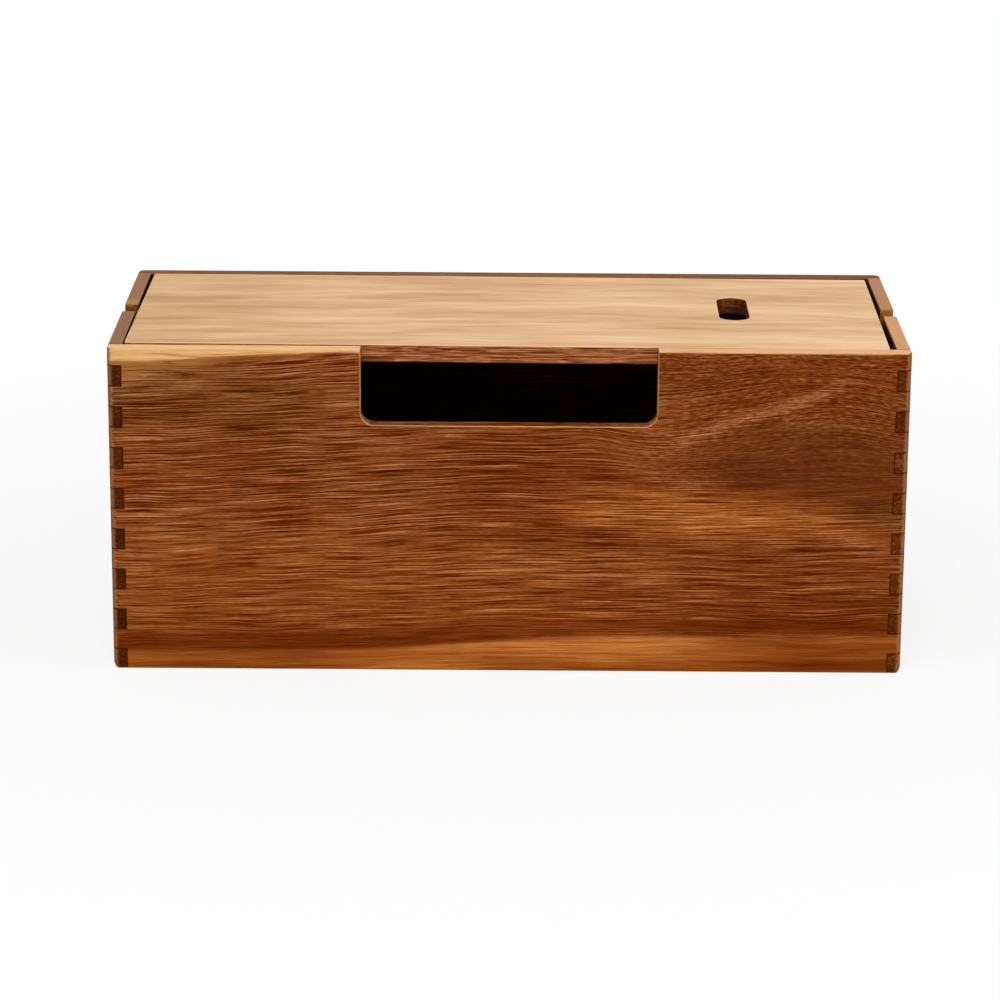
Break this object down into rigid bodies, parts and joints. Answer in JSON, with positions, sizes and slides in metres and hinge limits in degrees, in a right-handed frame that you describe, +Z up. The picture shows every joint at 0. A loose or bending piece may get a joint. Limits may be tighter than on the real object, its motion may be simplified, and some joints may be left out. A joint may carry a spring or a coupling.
{
  "type": "cable management box",
  "caption": "Long finger-jointed wooden box with a loose slotted lid, a front cut-out and end notches, for hiding a power strip and its leads.",
  "frame": {"origin": "centre of the footprint, on the surface the box stands on", "axes": "+X along the length, to the right as seen from the front; +Y from the front panel to the rear panel; +Z up"},
  "size_m": [0.31, 0.135, 0.13],
  "materials": {
    "front_panel_wood": "acacia heartwood with a pale sapwood edge, oiled, satin",
    "rear_panel_wood": "acacia heartwood, oiled, satin",
    "left_end_wood": "dark acacia heartwood, oiled, satin",
    "right_end_wood": "acacia heartwood and sapwood, oiled, satin",
    "floor_wood": "acacia, oiled, satin",
    "lid_wood": "light acacia with fine straight grain, oiled, satin",
    "block_wood": "acacia, sanded"
  },
  "bodies": {
    "box": {"front_panel": "front_panel_wood", "rear_panel": "rear_panel_wood", "left_end_panel": "left_end_wood", "right_end_panel": "right_end_wood", "floor_board": "floor_wood", "corner_block_front_left": "block_wood", "corner_block_front_right": "block_wood", "corner_block_rear_left": "block_wood", "corner_block_rear_right": "block_wood"},
    "lid": {"lid": "lid_wood"}
  },
  "joints": [
    {"name": "lid_lift", "type": "slide", "parent": "box", "child": "lid", "axis": [0, 0, 1], "range_m": [0, 0.08]}
  ]
}
